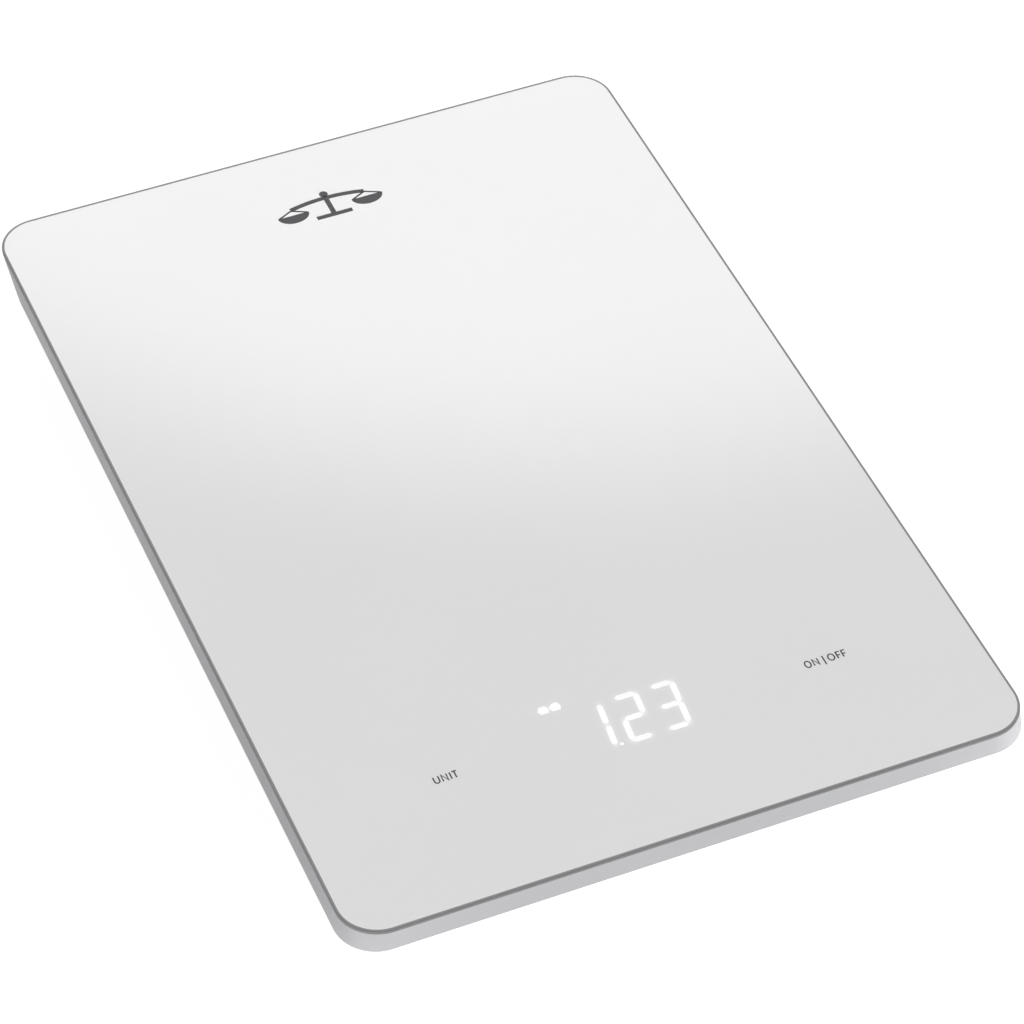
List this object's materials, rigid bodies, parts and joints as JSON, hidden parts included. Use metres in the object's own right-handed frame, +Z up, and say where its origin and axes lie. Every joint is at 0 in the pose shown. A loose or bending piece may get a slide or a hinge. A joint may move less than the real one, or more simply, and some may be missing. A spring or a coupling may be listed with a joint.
{
  "type": "electronic kitchen scale",
  "caption": "Slim electronic kitchen scale: white back-printed glass platform, hidden lit display and touch keys, shallow plastic housing, sensing feet and a battery door underneath.",
  "frame": {"origin": "on the table, under the middle of the housing", "axes": "+Y from the display side to the back, +Z up, +X to the right as seen from the display side"},
  "size_m": [0.1612, 0.2408, 0.0195],
  "materials": {
    "white_backed_glass": "polished, white behind",
    "satin_housing": "fine satin",
    "clear_film": "clear bonding film",
    "black_foam": "foam",
    "grey_rubber": "matte",
    "foot_plastic": "satin",
    "white_plastic": "satin",
    "natural_plastic": "satin",
    "spring_steel": "nickel plated",
    "sensor_steel": "stamped and plated",
    "screw_steel": "zinc plated",
    "silicone_seal": "soft gloss",
    "board_green": "solder mask",
    "chip_black": "moulded",
    "component_mix": "moulded",
    "led_chip": "clear over phosphor",
    "diffuser_film": "frosted",
    "cable_grey": "satin jacket",
    "lead_red": "satin jacket",
    "lead_black": "satin jacket",
    "battery_jacket": "printed film, plain"
  },
  "bodies": {
    "housing": {"adhesive_film": "clear_film", "battery_1": "battery_jacket", "battery_2": "battery_jacket", "battery_3": "battery_jacket", "battery_lead_negative": "lead_black", "battery_lead_positive": "lead_red", "battery_plug": "natural_plastic", "board_components": "component_mix", "board_screws": "screw_steel", "bottom_housing": "satin_housing", "bridge_contact_left": "spring_steel", "bridge_contact_right": "spring_steel", "clamp_screws": "screw_steel", "controller_chip": "chip_black", "display_diffuser": "diffuser_film", "display_gasket": "black_foam", "display_reflector": "white_plastic", "glass_platform": "white_backed_glass", "load_cell_back_left": "sensor_steel", "load_cell_back_right": "sensor_steel", "load_cell_front_left": "sensor_steel", "load_cell_front_right": "sensor_steel", "main_board": "board_green", "negative_contact": "spring_steel", "positive_contact": "spring_steel", "segment_leds": "led_chip", "sensor_cable_back_left": "cable_grey", "sensor_cable_back_right": "cable_grey", "sensor_cable_front_left": "cable_grey", "sensor_cable_front_right": "cable_grey", "sensor_clamp_back_left": "natural_plastic", "sensor_clamp_back_right": "natural_plastic", "sensor_clamp_front_left": "natural_plastic", "sensor_clamp_front_right": "natural_plastic", "sensor_plugs": "natural_plastic", "shell_screws": "screw_steel", "strain_gauges": "silicone_seal", "top_housing": "satin_housing", "touch_spring_left": "spring_steel", "touch_spring_right": "spring_steel"},
    "foot_front_left": {"foot_holder_front_left": "foot_plastic", "rubber_pad_front_left": "grey_rubber", "foot_clip_front_left": "natural_plastic"},
    "foot_front_right": {"foot_holder_front_right": "foot_plastic", "rubber_pad_front_right": "grey_rubber", "foot_clip_front_right": "natural_plastic"},
    "foot_back_left": {"foot_holder_back_left": "foot_plastic", "rubber_pad_back_left": "grey_rubber", "foot_clip_back_left": "natural_plastic"},
    "foot_back_right": {"foot_holder_back_right": "foot_plastic", "rubber_pad_back_right": "grey_rubber", "foot_clip_back_right": "natural_plastic"},
    "door": {"battery_door": "satin_housing"}
  },
  "joints": [
    {"name": "foot_press_front_left", "type": "slide", "parent": "housing", "child": "foot_front_left", "axis": [0, 0, 1], "range_m": [0, 0.0004], "stiffness_N_per_m": 1500, "springref_m": -0.0013, "deforming": ["load_cell_front_left"]},
    {"name": "foot_press_front_right", "type": "slide", "parent": "housing", "child": "foot_front_right", "axis": [0, 0, 1], "range_m": [0, 0.0004], "stiffness_N_per_m": 1500, "springref_m": -0.0013, "deforming": ["load_cell_front_right"]},
    {"name": "foot_press_back_left", "type": "slide", "parent": "housing", "child": "foot_back_left", "axis": [0, 0, 1], "range_m": [0, 0.0004], "stiffness_N_per_m": 1500, "springref_m": -0.0013, "deforming": ["load_cell_back_left"]},
    {"name": "foot_press_back_right", "type": "slide", "parent": "housing", "child": "foot_back_right", "axis": [0, 0, 1], "range_m": [0, 0.0004], "stiffness_N_per_m": 1500, "springref_m": -0.0013, "deforming": ["load_cell_back_right"]},
    {"name": "battery_door_hinge", "type": "hinge", "parent": "housing", "child": "door", "pos_m": [0, 0.029, 0.0025], "axis": [1, 0, 0], "range_deg": [0, 100]}
  ]
}
